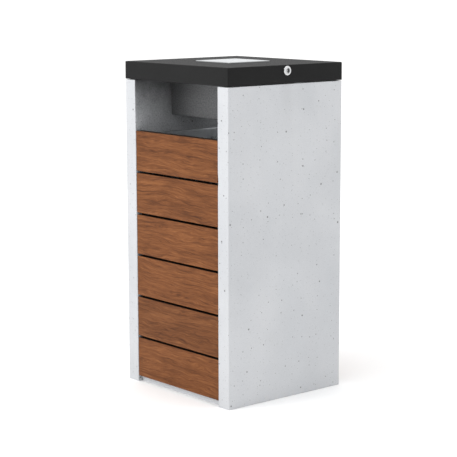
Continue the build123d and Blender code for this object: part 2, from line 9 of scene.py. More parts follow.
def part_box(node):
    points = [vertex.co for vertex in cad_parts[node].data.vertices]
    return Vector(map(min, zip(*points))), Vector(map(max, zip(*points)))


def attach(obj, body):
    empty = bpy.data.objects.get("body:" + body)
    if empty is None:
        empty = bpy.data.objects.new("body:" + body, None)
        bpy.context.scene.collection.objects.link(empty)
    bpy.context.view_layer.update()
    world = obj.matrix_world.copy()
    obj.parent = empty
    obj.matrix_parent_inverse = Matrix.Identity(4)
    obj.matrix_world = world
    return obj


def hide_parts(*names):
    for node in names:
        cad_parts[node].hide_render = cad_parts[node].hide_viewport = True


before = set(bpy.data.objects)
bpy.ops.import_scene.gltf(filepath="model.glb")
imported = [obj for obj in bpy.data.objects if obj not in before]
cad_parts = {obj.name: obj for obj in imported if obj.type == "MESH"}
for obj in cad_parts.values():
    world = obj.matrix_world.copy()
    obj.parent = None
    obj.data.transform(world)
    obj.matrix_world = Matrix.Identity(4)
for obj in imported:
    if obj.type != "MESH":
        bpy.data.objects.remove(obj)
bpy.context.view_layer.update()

# ---------------------------------------------------------------- floor, light and camera
# A pale seamless floor under a white studio sky. A broad soft panel stands at the front left,
# so the slatted front is brighter than the right side.

TARGET = Vector((-0.0090, -0.0107, 0.4859))
CAMERA_AZIMUTH = radians(49.86)
CAMERA_PITCH = radians(9.33)
CAMERA_ROLL = radians(-0.15)
CAMERA_DISTANCE = 4.769
CAMERA_LENS = 121.6
SENSOR_WIDTH = 36
FLOOR_SIZE = 60.0
PANEL_PLACE, PANEL_AIM, PANEL_SIZE, PANEL_WATTS = (-1.4, -4.0, 3.4), (0, 0, 0.6), 3.0, 104

back = Vector((sin(CAMERA_AZIMUTH) * cos(CAMERA_PITCH), -cos(CAMERA_AZIMUTH) * cos(CAMERA_PITCH),
               sin(CAMERA_PITCH)))
camera = bpy.data.objects.new("camera", bpy.data.cameras.new("camera"))
camera.data.lens = CAMERA_LENS
camera.data.sensor_width = SENSOR_WIDTH
camera.location = TARGET + back * CAMERA_DISTANCE
turn = back.to_track_quat("Z", "Y").to_matrix() @ Matrix.Rotation(CAMERA_ROLL, 3, "Z")
camera.rotation_euler = turn.to_euler()
bpy.context.scene.collection.objects.link(camera)
bpy.context.scene.camera = camera
bpy.context.scene.view_settings.view_transform = "Standard"

SKY_BRIGHT = 1.45
SKY_STEPS = ((0.0, 0.82), (0.5, 0.82), (0.506, 0.44), (0.56, 0.52), (0.75, 0.82), (1.0, 1.0))
world = bpy.data.worlds.new("studio_sky")
bpy.context.scene.world = world
world.use_nodes = True
sky = world.node_tree
split = sky.nodes.new("ShaderNodeSeparateXYZ")
sky.links.new(sky.nodes.new("ShaderNodeTexCoord").outputs["Generated"], split.inputs[0])
level = sky.nodes.new("ShaderNodeMapRange")
level.inputs["From Min"].default_value = -1.0
sky.links.new(split.outputs["Z"], level.inputs["Value"])
shades = sky.nodes.new("ShaderNodeValToRGB")
for i, (at, bright) in enumerate(SKY_STEPS):
    step = shades.color_ramp.elements[i] if i < 2 else shades.color_ramp.elements.new(at)
    step.position = at
    step.color = (bright, bright, bright, 1)
sky.links.new(level.outputs["Result"], shades.inputs["Fac"])
sky.links.new(shades.outputs["Color"], sky.nodes["Background"].inputs["Color"])
sky.nodes["Background"].inputs["Strength"].default_value = SKY_BRIGHT


def soft_panel(name, place, aim, size, watts):
    """Square area light at place that faces aim."""
    lamp = bpy.data.lights.new(name, "AREA")
    lamp.size = size
    lamp.energy = watts
    made = bpy.data.objects.new(name, lamp)
    made.location = place
    made.rotation_euler = (Vector(place) - Vector(aim)).to_track_quat("Z", "Y").to_euler()
    bpy.context.scene.collection.objects.link(made)
    return made


soft_panel("front_panel", PANEL_PLACE, PANEL_AIM, PANEL_SIZE, PANEL_WATTS)


def mesh_piece(name, points, faces, smooth=True):
    """New object at the origin from an array of points and an array or list of faces."""
    mesh = bpy.data.meshes.new(name)
    mesh.from_pydata(np.asarray(points, float).tolist(), [], [list(map(int, f)) for f in faces])
    made = bpy.data.objects.new(name, mesh)
    bpy.context.scene.collection.objects.link(made)
    if smooth:
        mesh.polygons.foreach_set("use_smooth", [True] * len(mesh.polygons))
    return made


def add(tree, kind, inputs=None, **settings):
    """Adds a shader node, with its settings, and sets or links each of its inputs."""
    made = tree.nodes.new("ShaderNode" + kind)
    for key, value in settings.items():
        setattr(made, key, value)
    for socket, value in (inputs or {}).items():
        if isinstance(value, bpy.types.NodeSocket):
            tree.links.new(value, made.inputs[socket])
        else:
            made.inputs[socket].default_value = value
    return made


def mix(tree, factor, a, b, blend="MIX"):
    """Mixes two colours; gives the result."""
    return add(tree, "MixRGB", {"Fac": factor, "Color1": a, "Color2": b}, blend_type=blend).outputs["Color"]


def noise(tree, place, scale, detail=3.0, rough=0.5):
    """Noise texture on a place; gives its value."""
    inputs = {"Vector": place, "Scale": scale, "Detail": detail, "Roughness": rough}
    return add(tree, "TexNoise", inputs).outputs["Fac"]


def finish_start(name, roughness=0.5, metallic=0.0, **sockets):
    """New material; gives it with its tree, its shader and the object coordinates."""
    material = bpy.data.materials.new(name)
    material.use_nodes = True
    tree = material.node_tree
    shader = tree.nodes["Principled BSDF"]
    shader.inputs["Roughness"].default_value = roughness
    shader.inputs["Metallic"].default_value = metallic
    for socket, value in sockets.items():
        shader.inputs[socket.replace("_", " ")].default_value = value
    return material, tree, shader, add(tree, "TexCoord").outputs["Object"]


def wear(piece, material):
    """Gives a piece one material on all its slots."""
    piece.data.materials.clear()
    piece.data.materials.append(material)


def floor_paint(name):
    """Matte white floor paint with very soft cloudy unevenness."""
    material, tree, shader, place = finish_start(name, roughness=0.9)
    tree.links.new(mix(tree, noise(tree, place, 1.5), (0.93, 0.93, 0.93, 1), (0.95, 0.95, 0.95, 1)),
                   shader.inputs["Base Color"])
    return material


floor_corners = FLOOR_SIZE / 2 * np.array([(-1, -1, 0), (1, -1, 0), (1, 1, 0), (-1, 1, 0)])
floor = mesh_piece("studio_floor", floor_corners, [(0, 1, 2, 3)], smooth=False)
wear(floor, floor_paint("floor_white"))


# ---------------------------------------------------------------- concrete side panels
# Two smooth cast panels of pale grey concrete, chamfered and a little worn along their edges.
# They stand on the ground and carry everything else. Small air holes are left by the mould.

EDGE_ROUND = 0.0018
EDGE_LINES = (0, 0.12, 0.35, 0.65, 1)
CAST_SPACING = 0.009
CHIP_REACH = 0.007
CHIP_DEPTH = 0.0012
# Painted shade on the inner faces: the levels between which it deepens in the mouth under the lid, and its
# strength.
MOUTH_SHADE_FOOT, MOUTH_SHADE_TOP, MOUTH_SHADE_DEPTH = 0.835, 1.0, 0.88
# Air holes: how many cells to a metre, the widest radius, the share of cells with one, the darkness.
AIR_HOLES = ((14, 0.0037, 0.60, 1.0), (30, 0.0024, 0.58, 0.95), (80, 0.0013, 0.55, 0.8))


def wobble(points, wavelength, seed):
    """Smooth random field between about -1 and 1: the mean of 9 sines in random directions."""
    draw = np.random.default_rng(seed)
    directions = draw.normal(size=(9, 3))
    directions /= np.linalg.norm(directions, axis=1)[:, None]
    pace = 2 * pi / wavelength * draw.uniform(0.6, 1.6, 9)
    waves = points @ directions.T * pace + draw.uniform(0, 2 * pi, 9)
    return np.sin(waves).mean(1) * 2


def rounded_block(low, high, radius, spacing):
    """Closed box grid with rounded edges.

    Each face is a grid over two of the axes. A grid point q is pulled to c, the nearest point of the
    box shrunk by radius, and then placed at c + radius * (q - c) / |q - c|.
    """
    low, high = np.array(low, float), np.array(high, float)
    lines = []
    for a, b in zip(low, high):
        edge = radius * np.array(EDGE_LINES)
        count = max(2, int(round((b - a - 2 * radius) / spacing)) + 1)
        inside = np.linspace(a + radius, b - radius, count)[1:-1]
        lines.append(np.concatenate([a + edge, inside, (b - edge)[::-1]]))
    points, faces, flat, start = [], [], [], 0
    for axis in range(3):
        u_axis, v_axis = (axis + 1) % 3, (axis + 2) % 3
        u, v = np.meshgrid(lines[u_axis], lines[v_axis], indexing="ij")
        rows, columns = u.shape
        index = np.arange(rows * columns).reshape(rows, columns)
        quads = np.stack([index[:-1, :-1], index[1:, :-1], index[1:, 1:], index[:-1, 1:]], -1).reshape(-1, 4)
        for level, order in ((high[axis], slice(None)), (low[axis], slice(None, None, -1))):
            grid = np.empty((rows * columns, 3))
            grid[:, axis], grid[:, u_axis], grid[:, v_axis] = level, u.ravel(), v.ravel()
            points.append(grid)
            faces.append(quads[:, order] + start)
            shift_u, shift_v = 3 * axis, 2 * (level == high[axis])
            flat.append(np.stack([grid[:, u_axis] + shift_u, grid[:, v_axis] + shift_v], 1))
            start += rows * columns
    points = np.concatenate(points)
    core = np.clip(points, low + radius, high - radius)
    away = points - core
    points = core + radius * away / np.linalg.norm(away, axis=1)[:, None]
    return points, np.concatenate(faces), np.concatenate(flat)


def unfold(piece, flat, faces):
    """Gives each face corner of a fresh piece its own flat coordinates."""
    layer = piece.data.uv_layers.new(name="face")
    layer.data.foreach_set("uv", flat[faces].ravel())


def sew(piece):
    """Merges the doubled seam points of a piece."""
    shell = bmesh.new()
    shell.from_mesh(piece.data)
    bmesh.ops.remove_doubles(shell, verts=shell.verts, dist=1e-6)
    bmesh.ops.dissolve_degenerate(shell, edges=shell.edges, dist=1e-7)
    shell.to_mesh(piece.data)
    shell.free()
    return piece


def even_normals(piece):
    """Weights the normals by face area, so flat faces stay flat beside a rounded edge."""
    weigh = piece.modifiers.new("even_normals", "WEIGHTED_NORMAL")
    weigh.weight = 80
    weigh.keep_sharp = True
    return piece


def stand_for(piece, body, slot, *nodes):
    """A piece rides on a body and is shown in place of the CAD nodes."""
    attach(piece, body)
    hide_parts(*nodes)


def calc(tree, operation, *values):
    """One Math node on up to three numbers or sockets; gives its result."""
    return add(tree, "Math", dict(enumerate(values)), operation=operation).outputs[0]


def ramp(tree, factor, *stops):
    """Colour ramp through (place, (r, g, b)) stops; gives its colour."""
    made = add(tree, "ValToRGB", {"Fac": factor})
    elements = made.color_ramp.elements
    for i, (place, colour) in enumerate(stops):
        element = elements[i] if i < 2 else elements.new(place)
        element.position = place
        element.color = (*colour, 1)
    return made.outputs["Color"]


def span(tree, value, low, high, to_low=0.0, to_high=1.0):
    """Smooth step of a value from low..high to to_low..to_high."""
    inputs = {"Value": value, "From Min": low, "From Max": high, "To Min": to_low, "To Max": to_high}
    return add(tree, "MapRange", inputs, interpolation_type="SMOOTHSTEP").outputs["Result"]


def stretch(tree, place, scale, move=(0, 0, 0), rotate=(0, 0, 0)):
    """Mapping node that moves, turns and scales a place."""
    inputs = {"Vector": place, "Location": move, "Rotation": rotate, "Scale": scale}
    return add(tree, "Mapping", inputs).outputs[0]


def bump(tree, shader, height, strength, distance):
    """Bump from a height socket into the shader's normal."""
    made = add(tree, "Bump", {"Height": height, "Strength": strength, "Distance": distance})
    tree.links.new(made.outputs["Normal"], shader.inputs["Normal"])


def concrete(name, streak=None, flat=True, shade=1.0, mouth_shade=None):
    """Cast concrete: soft clouds, fine sand speckle and air holes in three sizes.

    streak is the y and z that a faint grimy run hangs from. The last argument is the x of the inner face and
    the levels between which painted shade darkens that face in the mouth, under the lid; painted shade also
    speckles the whole inner face.
    """
    material, tree, shader, place = finish_start(name, roughness=0.78)
    clouds = noise(tree, place, 3.4, 5, 0.55)
    washes = noise(tree, stretch(tree, place, (5, 5, 1.1), (3, 1, 2)), 2.2, 4, 0.6)
    speckle = noise(tree, place, 620, 2, 0.6)
    colour = ramp(tree, span(tree, clouds, 0.3, 0.7), (0, [shade * c for c in (0.500, 0.511, 0.530)]),
                  (1, [shade * c for c in (0.556, 0.565, 0.582)]))
    washed = ramp(tree, span(tree, washes, 0.3, 0.7), (0, (0.955, 0.965, 0.972)), (1, (1, 1, 1)))
    colour = mix(tree, 0.5, colour, washed, "MULTIPLY")
    sandy = ramp(tree, speckle, (0.3, (0.84, 0.84, 0.84)), (0.7, (1.1, 1.1, 1.1)))
    colour = mix(tree, 0.5, colour, sandy, "MULTIPLY")
    holes = None
    where = add(tree, "UVMap", uv_map="face").outputs["UV"] if flat else place
    drift = add(tree, "TexNoise", {"Vector": where, "Scale": 320.0, "Detail": 2.0}).outputs["Color"]
    ragged = mix(tree, 0.0016, where, drift, "ADD")
    for scale, widest, share, depth in AIR_HOLES:
        cells = add(tree, "TexVoronoi", {"Vector": ragged, "Scale": scale, "Randomness": 1.0},
                    voronoi_dimensions="2D" if flat else "3D")
        chance = add(tree, "SeparateColor", {"Color": cells.outputs["Color"]}).outputs["Red"]
        most = widest * scale
        sizes = {"Value": chance, "From Min": 1 - share, "To Min": 0.2 * most, "To Max": most}
        radius = add(tree, "MapRange", sizes).outputs["Result"]
        radius = calc(tree, "MULTIPLY", radius, calc(tree, "GREATER_THAN", chance, 1 - share))
        inside = calc(tree, "DIVIDE", cells.outputs["Distance"], calc(tree, "MAXIMUM", radius, 0.00001))
        hole = span(tree, inside, 0.5, 1.0, depth, 0.0)
        holes = hole if holes is None else calc(tree, "MAXIMUM", holes, hole)
    colour = mix(tree, calc(tree, "MULTIPLY", holes, 0.8), colour, (0.10, 0.10, 0.098, 1))
    if streak:
        parts = add(tree, "SeparateXYZ", {"Vector": place})
        beside = calc(tree, "ABSOLUTE", calc(tree, "SUBTRACT", parts.outputs["Y"], streak[0]))
        run = calc(tree, "MULTIPLY", span(tree, beside, 0.004, 0.032, 1.0, 0.0),
                   span(tree, parts.outputs["Z"], streak[1] - 0.22, streak[1], 0.0, 1.0))
        run = calc(tree, "MULTIPLY", run, span(tree, washes, 0.2, 0.8, 0.5, 1.0))
        colour = mix(tree, calc(tree, "MULTIPLY", run, 0.15), colour, (0.30, 0.31, 0.32, 1))
    # Painted shade on the inner face: dark speckles over all of it, and near black deepening upwards in the
    # mouth under the lid.
    if mouth_shade:
        parts = add(tree, "SeparateXYZ", {"Vector": place})
        inner = calc(tree, "LESS_THAN", calc(tree, "ABSOLUTE", parts.outputs["X"]), mouth_shade[0] + 0.0012)
        ragged_height = calc(tree, "MULTIPLY_ADD", noise(tree, place, 28, 4, 0.7), 0.07, parts.outputs["Z"])
        black = calc(tree, "MULTIPLY", inner, span(tree, ragged_height, mouth_shade[1], mouth_shade[2], 0.0, MOUTH_SHADE_DEPTH))
        shade_speckle = noise(tree, place, 210, 3, 0.7)
        painted_inner_shade = calc(tree, "MULTIPLY", inner, span(tree, shade_speckle, 0.42, 0.66, 0.0, 0.38))
        colour = mix(tree, painted_inner_shade, colour, (0.16, 0.165, 0.17, 1))
        colour = mix(tree, black, colour, (0.045, 0.045, 0.046, 1))
    tree.links.new(colour, shader.inputs["Base Color"])
    height = calc(tree, "SUBTRACT", calc(tree, "MULTIPLY", speckle, 0.06), holes)
    bump(tree, shader, height, 0.5, 0.0012)
    return material


for name, seed in (("left", 3), ("right", 8)):
    low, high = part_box(f"side_panel_{name}")
    points, faces, flat = rounded_block(low, high, EDGE_ROUND, CAST_SPACING)
    middle = (np.array(low) + np.array(high)) / 2
    half = (np.array(high) - np.array(low)) / 2
    # Chips: the nearer a point lies to an edge, the more of the chip field it loses.
    gaps = np.sort(half - np.abs(points - middle), axis=1)
    nearness = np.clip(1 - gaps[:, 1] / CHIP_REACH, 0, 1)
    field = wobble(points, 0.045, seed) * wobble(points, 0.17, seed + 1)
    chips = np.clip(field - 0.25, 0, 1) * CHIP_DEPTH
    close = half - np.abs(points - middle) < CHIP_REACH
    points -= np.sign(points - middle) * (nearness * chips)[:, None] * close
    panel = mesh_piece(f"cast_panel_{name}", points, faces)
    unfold(panel, flat, faces)
    even_normals(sew(panel))
    # Each inner face carries painted shade in the mouth; the right panel also has a faint grimy run near its
    # top.
    wear(panel, concrete(f"concrete_{name}", streak=(0.0, high.z) if name == "right" else None,
                         mouth_shade=(min(abs(low.x), abs(high.x)), MOUTH_SHADE_FOOT, MOUTH_SHADE_TOP)))
    stand_for(panel, "bin_body", "concrete", f"side_panel_{name}")


# ---------------------------------------------------------------- base slab
# Thick concrete floor slab between the panels, held by a bracket at each corner. Its edge is
# rebated so that a thin toe shows under the slats, and it has drain holes.

# Painted light: the slab's concrete is made 1.2 times lighter than the panels', so the toe in the shade under
# the slats reads as lit.
wear(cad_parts["base_slab"], concrete("concrete_base_painted_light", flat=False, shade=1.2))


# ---------------------------------------------------------------- timber slats
# Six planed hardwood boards on the front and six on the rear, oiled reddish brown, with rounded
# long edges. The grain runs along the board, in flat-sawn arches that differ from board to board.

SLAT_ROUND = 0.0012
SLAT_SPACING = 0.012
PLANING_WAVE = 0.00018
BOW = 0.0003
# Depths behind the outer face over which each board goes dark as painted shade.
GAP_SHADE_DEPTH = (0.0008, 0.0022)
WOOD_DARK, WOOD_MID, WOOD_LIGHT = (0.070, 0.0222, 0.0066), (0.162, 0.0542, 0.0148), (0.256, 0.0950, 0.0285)


def timber(name, seed, shade, face):
    """Flat-sawn hardwood.

    The place is bent by a slow noise. Over it lie bands, streaks and fibres, which are noises
    stretched along the board, dark veins along one level of a further noise, and open pores.
    Only the outer face, at y = face, keeps the wood colour: the edges and the back are darkened as painted
    shade for the gaps between boards.
    """
    draw = np.random.default_rng(seed)
    material, tree, shader, place = finish_start(name, roughness=0.6, Specular_IOR_Level=0.18)
    lean = (radians(draw.uniform(-1.0, 1.0)), radians(draw.uniform(-1.5, 1.5)), radians(draw.uniform(-2, 2)))
    local = stretch(tree, place, (1, 1, 1), tuple(draw.uniform(-0.3, 0.3, 3)), lean)
    wave = noise(tree, stretch(tree, local, (5, 14, 20)), 1.0, 3, 0.55)
    wave = calc(tree, "MULTIPLY", calc(tree, "SUBTRACT", wave, 0.5), 0.045)
    parts = add(tree, "SeparateXYZ", {"Vector": local})
    waved = add(tree, "CombineXYZ", {"X": parts.outputs["X"], "Y": parts.outputs["Y"],
                                     "Z": calc(tree, "ADD", parts.outputs["Z"], wave)}).outputs[0]
    bands = noise(tree, stretch(tree, waved, (4.5, 60, 125)), 1.0, 4, 0.6)
    streaks = noise(tree, stretch(tree, waved, (11, 200, 330)), 1.0, 4, 0.7)
    fibre = noise(tree, stretch(tree, waved, (26, 600, 900)), 1.0, 3, 0.6)
    patches = noise(tree, stretch(tree, waved, (6, 16, 30)), 1.0, 3, 0.5)
    contour = noise(tree, stretch(tree, waved, (5, 40, 62)), 1.0, 2, 0.5)
    vein = span(tree, calc(tree, "ABSOLUTE", calc(tree, "SUBTRACT", contour, 0.5)), 0.0, 0.045, 1.0, 0.0)
    vein = calc(tree, "MULTIPLY", vein, span(tree, streaks, 0.35, 0.6))
    tone = calc(tree, "MULTIPLY_ADD", calc(tree, "SUBTRACT", bands, 0.5), 0.85, 0.5)
    tone = calc(tree, "MULTIPLY_ADD", calc(tree, "SUBTRACT", streaks, 0.5), 1.15, tone)
    tone = calc(tree, "MULTIPLY_ADD", calc(tree, "SUBTRACT", fibre, 0.5), 0.85, tone)
    tone = calc(tree, "MULTIPLY_ADD", calc(tree, "SUBTRACT", patches, 0.5), 0.45, tone)
    tone = calc(tree, "MULTIPLY_ADD", vein, -0.22, tone)
    dark, mid, light = [tuple(shade * c for c in colour) for colour in (WOOD_DARK, WOOD_MID, WOOD_LIGHT)]
    colour = ramp(tree, tone, (0.12, dark), (0.5, mid), (0.88, light))
    pores = noise(tree, stretch(tree, waved, (60, 1500, 1700)), 1.0, 2, 0.5)
    open_pores = span(tree, pores, 0.62, 0.74)
    colour = mix(tree, calc(tree, "MULTIPLY", open_pores, 0.35), colour, (0.05, 0.018, 0.008, 1))
    # Painted shade: away from the outer face, the board's edges and back go near black.
    out = calc(tree, "ABSOLUTE", add(tree, "SeparateXYZ", {"Vector": place}).outputs["Y"])
    depth = calc(tree, "SUBTRACT", abs(face), out)
    colour = mix(tree, span(tree, depth, *GAP_SHADE_DEPTH, 0.0, 0.93), colour, (0.010, 0.008, 0.007, 1))
    tree.links.new(colour, shader.inputs["Base Color"])
    tree.links.new(span(tree, tone, 0.2, 0.8, 0.66, 0.54), shader.inputs["Roughness"])
    ridges, pits = calc(tree, "MULTIPLY", fibre, 0.5), calc(tree, "MULTIPLY", open_pores, 0.6)
    bump(tree, shader, calc(tree, "SUBTRACT", ridges, pits), 0.35, 0.0005)
    return material


SLAT_SHADES = {"front": (1.02, 0.88, 1.03, 1.03, 0.99, 0.98), "rear": (0.97, 1.05, 0.92, 1.0, 0.88, 1.04)}
for end, seed in (("front", 20), ("rear", 60)):
    for row, shade in enumerate(SLAT_SHADES[end]):
        node = f"slat_{end}_{row + 1}"
        low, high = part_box(node)
        points, faces, _ = rounded_block(low, high, SLAT_ROUND, SLAT_SPACING)
        # Planing leaves the face very slightly wavy, and each board is bowed by a fraction of a millimetre.
        points[:, 1] += wobble(points * (1, 0.2, 3), 0.16, seed + row) * PLANING_WAVE
        points[:, 2] += wobble(points * (1, 0, 0), 0.5, seed + row + 40) * BOW
        board = even_normals(sew(mesh_piece(f"timber_{end}_{row + 1}", points, faces)))
        wear(board, timber(f"timber_{end}_{row + 1}", seed + row, shade, low.y if end == "front" else high.y))
        stand_for(board, "bin_body", "timber", node)


# ---------------------------------------------------------------- steel inside the body
# Galvanised angles carry the slats, brackets hold the slab, and bolts in cast-in sockets hold both.
# They are bent or rolled steel, so every edge is slightly rounded.


def galvanised(name, base=(0.36, 0.375, 0.39), spangle=70.0, contrast=1.0, shade_speckle=0.0):
    """Hot-dip zinc: grey crystals of slightly different tone, duller patches and, where asked, dark specks of
    painted shade.
    """
    material, tree, shader, place = finish_start(name, roughness=0.42, metallic=0.85)
    crystal = add(tree, "TexVoronoi", {"Vector": place, "Scale": spangle, "Randomness": 1.0}).outputs["Color"]
    tone = add(tree, "SeparateColor", {"Color": crystal}).outputs["Green"]
    dull = noise(tree, place, 9, 4, 0.6)
    colour = mix(tree, tone, (*[c * (1 - 0.12 * contrast) for c in base], 1),
                 (*[c * (1 + 0.14 * contrast) for c in base], 1))
    pale = (*[c * 1.35 for c in base], 1)
    colour = mix(tree, span(tree, dull, 0.35, 0.75, 0.0, 0.55 * contrast), colour, pale)
    # Painted shade: dark specks over the zinc.
    if shade_speckle:
        painted_specks = calc(tree, "MULTIPLY", span(tree, noise(tree, place, 230, 3, 0.7), 0.4, 0.64), shade_speckle)
        colour = mix(tree, painted_specks, colour, (0.02, 0.02, 0.021, 1))
    tree.links.new(colour, shader.inputs["Base Color"])
    matte = calc(tree, "MULTIPLY_ADD", tone, 0.12, 0.32)
    tree.links.new(calc(tree, "MULTIPLY_ADD", dull, 0.3 * contrast, matte), shader.inputs["Roughness"])
    bump(tree, shader, noise(tree, place, 900, 3), 0.15, 0.0002)
    return material


def dressed(node, edge):
    """Copy of a CAD node with its doubles merged, its flat faces joined and its sharp edges rounded."""
    piece = bpy.data.objects.new(f"{node}_finished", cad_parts[node].data.copy())
    bpy.context.scene.collection.objects.link(piece)
    shell = bmesh.new()
    shell.from_mesh(piece.data)
    bmesh.ops.remove_doubles(shell, verts=shell.verts, dist=1e-6)
    bmesh.ops.dissolve_limit(shell, angle_limit=radians(1), verts=shell.verts, edges=shell.edges)
    for face in shell.faces:
        face.smooth = True
    shell.to_mesh(piece.data)
    shell.free()
    soften = piece.modifiers.new("edge", "BEVEL")
    soften.width = edge
    soften.segments = 2
    soften.limit_method = "ANGLE"
    soften.angle_limit = radians(35)
    soften.use_clamp_overlap = True
    return even_normals(piece)


def dress(nodes, edge, body, slot, material):
    """Dresses each CAD node and shows the finished copy in its place."""
    for node in nodes:
        piece = dressed(node, edge)
        wear(piece, material)
        stand_for(piece, body, slot, node)


ENDS = ("front", "rear")
SIDES = ("left", "right")
dress([f"slat_angle_{end}_{side}" for end in ENDS for side in SIDES], 0.0005, "bin_body", "galvanised",
      galvanised("angle_zinc"))
dress([f"base_bracket_{end}_{side}" for end in ENDS for side in SIDES], 0.0008, "bin_body", "galvanised",
      galvanised("bracket_zinc"))


def zinc_plate(name):
    """Bright zinc plating on fasteners, with a faint warm and cool drift."""
    material, tree, shader, place = finish_start(name, roughness=0.32, metallic=1.0)
    drift = noise(tree, place, 45, 3)
    tree.links.new(ramp(tree, drift, (0.35, (0.50, 0.50, 0.53)), (0.65, (0.62, 0.60, 0.55))),
                   shader.inputs["Base Color"])
    tree.links.new(calc(tree, "MULTIPLY_ADD", noise(tree, place, 400), 0.2, 0.24), shader.inputs["Roughness"])
    return material


fastener_zinc = zinc_plate("fastener_zinc")
dress(("frame_bolts", "frame_washers", "slat_screws", "keeper_screws"), 0.0003, "bin_body", "zinc_plate",
      fastener_zinc)
wear(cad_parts["cast_sockets"], fastener_zinc)


# ---------------------------------------------------------------- lid
# Folded 2 mm sheet with a deep skirt and a return flange at its foot, welded at the corners and
# powder coated in fine-textured anthracite. Cut-outs take the ash pan and the lock.

LID_BEND = 0.003
SHEET = 0.002
RETURN_FLANGE = 0.025
FOOT_BEND = 0.0018
PAN_CUT = 0.073
NOTCH_GAP, NOTCH_MARGIN, CUT_PAST = 0.004, 0.008, 0.01
LOCK_HOLE = 0.0111
BOLT_HOLE, BOLT_HEAD, BOLT_INSET = 0.0031, 0.005, 0.015
CORNER_STEPS = 5


def rounded_frame(half_x, half_y, radius, sides=1):
    """Points round a rounded rectangle, anticlockwise from +X: four quarter arcs joined by sides."""
    points = []
    for corner, (sx, sy) in enumerate(((1, 1), (-1, 1), (-1, -1), (1, -1))):
        angles = np.linspace(0, pi / 2, CORNER_STEPS) + corner * pi / 2
        arc = np.stack([sx * (half_x - radius) + radius * np.cos(angles),
                        sy * (half_y - radius) + radius * np.sin(angles)], 1)
        points.append(arc)
    ring = []
    for corner in range(4):
        ring.append(points[corner])
        start, end = points[corner][-1], points[(corner + 1) % 4][0]
        steps = np.linspace(0, 1, sides + 1)[1:-1, None]
        ring.append(start + (end - start) * steps)
    return np.concatenate(ring)


def face_out(piece):
    """Turns every face of a closed piece outwards."""
    shell = bmesh.new()
    shell.from_mesh(piece.data)
    bmesh.ops.recalc_face_normals(shell, faces=shell.faces)
    shell.to_mesh(piece.data)
    shell.free()
    return piece


def loft(name, rings, closed=False):
    """Surface through a list of equal rings of points.

    A closed loft joins the last ring to the first, as a sheet with two sides. An open one gets a flat
    face on its first and last ring.
    """
    rings = np.array(rings, float)
    count, around = rings.shape[:2]
    index = np.arange(count * around).reshape(count, around)
    if closed:
        index = np.vstack([index, index[:1]])
    a, b = index[:-1], index[1:]
    quads = np.stack([a, np.roll(a, -1, 1), np.roll(b, -1, 1), b], -1).reshape(-1, 4)
    faces = [list(q) for q in quads]
    if not closed:
        faces += [list(index[0][::-1]), list(index[-1])]
    piece = mesh_piece(name, rings.reshape(-1, 3), faces)
    return face_out(piece)


def box_rings(sections, sides=1):
    """Rings from (half_x, half_y, corner radius, z) sections."""
    return [np.column_stack([rounded_frame(x, y, r, sides), np.full(4 * (CORNER_STEPS + sides - 1), z)])
            for x, y, r, z in sections]


def bend(x, y, r, z, radius, steps=4):
    """Sections round a bend about (x, y, z): a quarter turn from straight out to straight up."""
    angles = np.linspace(0, pi / 2, steps)
    return [(x + radius * cos(a), y + radius * cos(a), max(r + radius * cos(a), 0.0004), z + radius * sin(a))
            for a in angles]


def cut_out(piece, low, high, round_axis=None):
    """Cuts a box, or a round hole along an axis, out of a piece."""
    low, high = np.array(low, float), np.array(high, float)
    size, middle = high - low, (low + high) / 2
    shell = bmesh.new()
    if round_axis is None:
        bmesh.ops.create_cube(shell, size=1)
        shape = Matrix.Diagonal((*size, 1))
    else:
        bmesh.ops.create_cone(shell, cap_ends=True, segments=40, radius1=0.5, radius2=0.5, depth=1)
        turn = {"X": Matrix.Rotation(pi / 2, 4, "Y"), "Z": Matrix.Identity(4)}[round_axis]
        shape = Matrix.Diagonal((*size, 1)) @ turn
    bmesh.ops.transform(shell, matrix=Matrix.Translation(middle) @ shape, verts=shell.verts)
    mesh = bpy.data.meshes.new("cutter")
    shell.to_mesh(mesh)
    shell.free()
    cutter = bpy.data.objects.new("cutter", mesh)
    bpy.context.scene.collection.objects.link(cutter)
    knife = piece.modifiers.new("cut", "BOOLEAN")
    knife.operation = "DIFFERENCE"
    knife.solver = "EXACT"
    knife.object = cutter
    bpy.context.view_layer.update()
    cut = bpy.data.meshes.new_from_object(piece.evaluated_get(bpy.context.evaluated_depsgraph_get()))
    piece.modifiers.remove(knife)
    piece.data = cut
    bpy.data.objects.remove(cutter)


def powder_coat(name):
    """Fine-textured anthracite powder coat: a fine orange-peel grain and a little dust on top."""
    material, tree, shader, place = finish_start(name, roughness=0.6, Specular_IOR_Level=0.15)
    grain = noise(tree, place, 380, 4, 0.7)
    dust = noise(tree, place, 7, 5, 0.6)
    colour = ramp(tree, dust, (0.35, (0.0070, 0.0071, 0.0072)), (0.7, (0.0095, 0.0096, 0.0097)))
    mottle = ramp(tree, grain, (0.35, (0.6, 0.6, 0.6)), (0.65, (1.4, 1.4, 1.4)))
    colour = mix(tree, 0.6, colour, mottle, "MULTIPLY")
    tree.links.new(colour, shader.inputs["Base Color"])
    tree.links.new(calc(tree, "MULTIPLY_ADD", grain, 0.3, 0.42), shader.inputs["Roughness"])
    bump(tree, shader, grain, 0.8, 0.0009)
    return material


